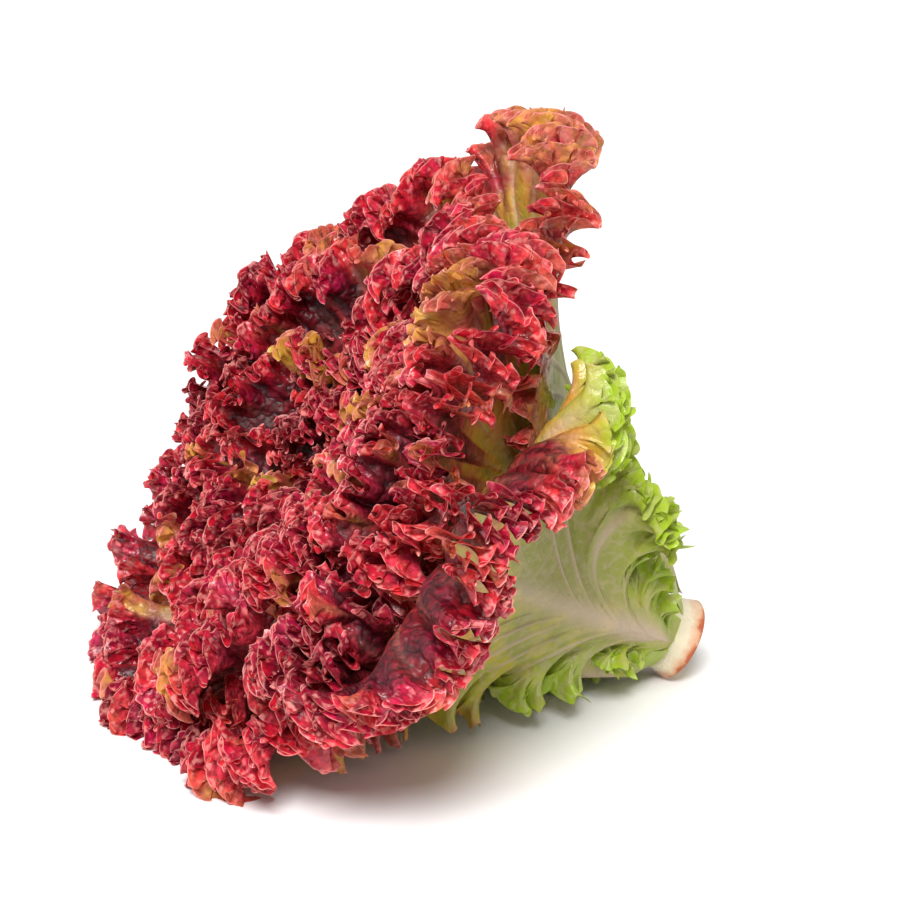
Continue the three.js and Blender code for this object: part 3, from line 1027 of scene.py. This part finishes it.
VIEW_AZIMUTH = math.radians(-16)
VIEW_ELEVATION = math.radians(17)
VIEW_DISTANCE = 1.15
VIEW_FROM_BUTT = (-73 * MM, 60 * MM)     # the picture's middle, left of and above the butt
LENS = 145
KEY_STRENGTH = 4.3
KEY_SPREAD = math.radians(24)
KEY_TURN = (math.radians(45), 0, math.radians(-22))
WORLD_STRENGTH = 0.40
FLOOR_RADIUS = 8
FLOOR_CORNERS = 96
FLOOR_COLOUR = (0.95, 0.95, 0.95, 1)
WHITE = (1, 1, 1, 1)


def view_axes():
    """Unit vectors to the camera's right, up, and back towards the camera."""
    back = np.array([
        math.sin(VIEW_AZIMUTH) * math.cos(VIEW_ELEVATION),
        -math.cos(VIEW_AZIMUTH) * math.cos(VIEW_ELEVATION),
        math.sin(VIEW_ELEVATION),
    ])
    right = np.array([math.cos(VIEW_AZIMUTH), math.sin(VIEW_AZIMUTH), 0])
    return right, np.cross(back, right), back


def add_camera():
    right, up, back = view_axes()
    aim = BUTT_CENTRE + right * VIEW_FROM_BUTT[0] + up * VIEW_FROM_BUTT[1]
    place = aim + back * VIEW_DISTANCE
    camera = bpy.data.objects.new("camera", bpy.data.cameras.new("camera"))
    camera.data.lens = LENS
    camera.matrix_world = Matrix([*zip(right, up, back, place), (0, 0, 0, 1)])
    bpy.context.scene.collection.objects.link(camera)
    bpy.context.scene.camera = camera


def add_key():
    data = bpy.data.lights.new("key", "SUN")
    data.energy = KEY_STRENGTH
    data.angle = KEY_SPREAD
    key = bpy.data.objects.new("key", data)
    key.rotation_euler = KEY_TURN
    bpy.context.scene.collection.objects.link(key)


def add_world():
    """Even light from all round, and a white background for the camera and for reflections."""
    world = bpy.data.worlds.new("world")
    bpy.context.scene.world = world
    world.use_nodes = True
    nodes, links = world.node_tree.nodes, world.node_tree.links
    nodes.clear()
    output = nodes.new("ShaderNodeOutputWorld")
    light = nodes.new("ShaderNodeBackground")
    light.inputs["Color"].default_value = WHITE
    light.inputs["Strength"].default_value = WORLD_STRENGTH
    white = nodes.new("ShaderNodeBackground")
    white.inputs["Color"].default_value = WHITE
    mix = nodes.new("ShaderNodeMixShader")
    path = nodes.new("ShaderNodeLightPath")
    seen = nodes.new("ShaderNodeMath")
    seen.operation = "MAXIMUM"
    links.new(path.outputs["Is Camera Ray"], seen.inputs[0])
    links.new(path.outputs["Is Glossy Ray"], seen.inputs[1])
    links.new(seen.outputs[0], mix.inputs["Fac"])
    links.new(light.outputs[0], mix.inputs[1])
    links.new(white.outputs[0], mix.inputs[2])
    links.new(mix.outputs[0], output.inputs["Surface"])


def add_floor():
    bpy.ops.mesh.primitive_circle_add(vertices=FLOOR_CORNERS, radius=FLOOR_RADIUS, fill_type="NGON")
    floor = bpy.context.object
    floor.name = "floor"
    paint = Material("floor")
    surface = paint.add("BsdfDiffuse", Color=FLOOR_COLOUR)
    floor.data.materials.append(paint.output(surface.outputs[0]))


add_camera()
add_key()
add_world()
add_floor()
bpy.context.scene.view_settings.view_transform = "Standard"
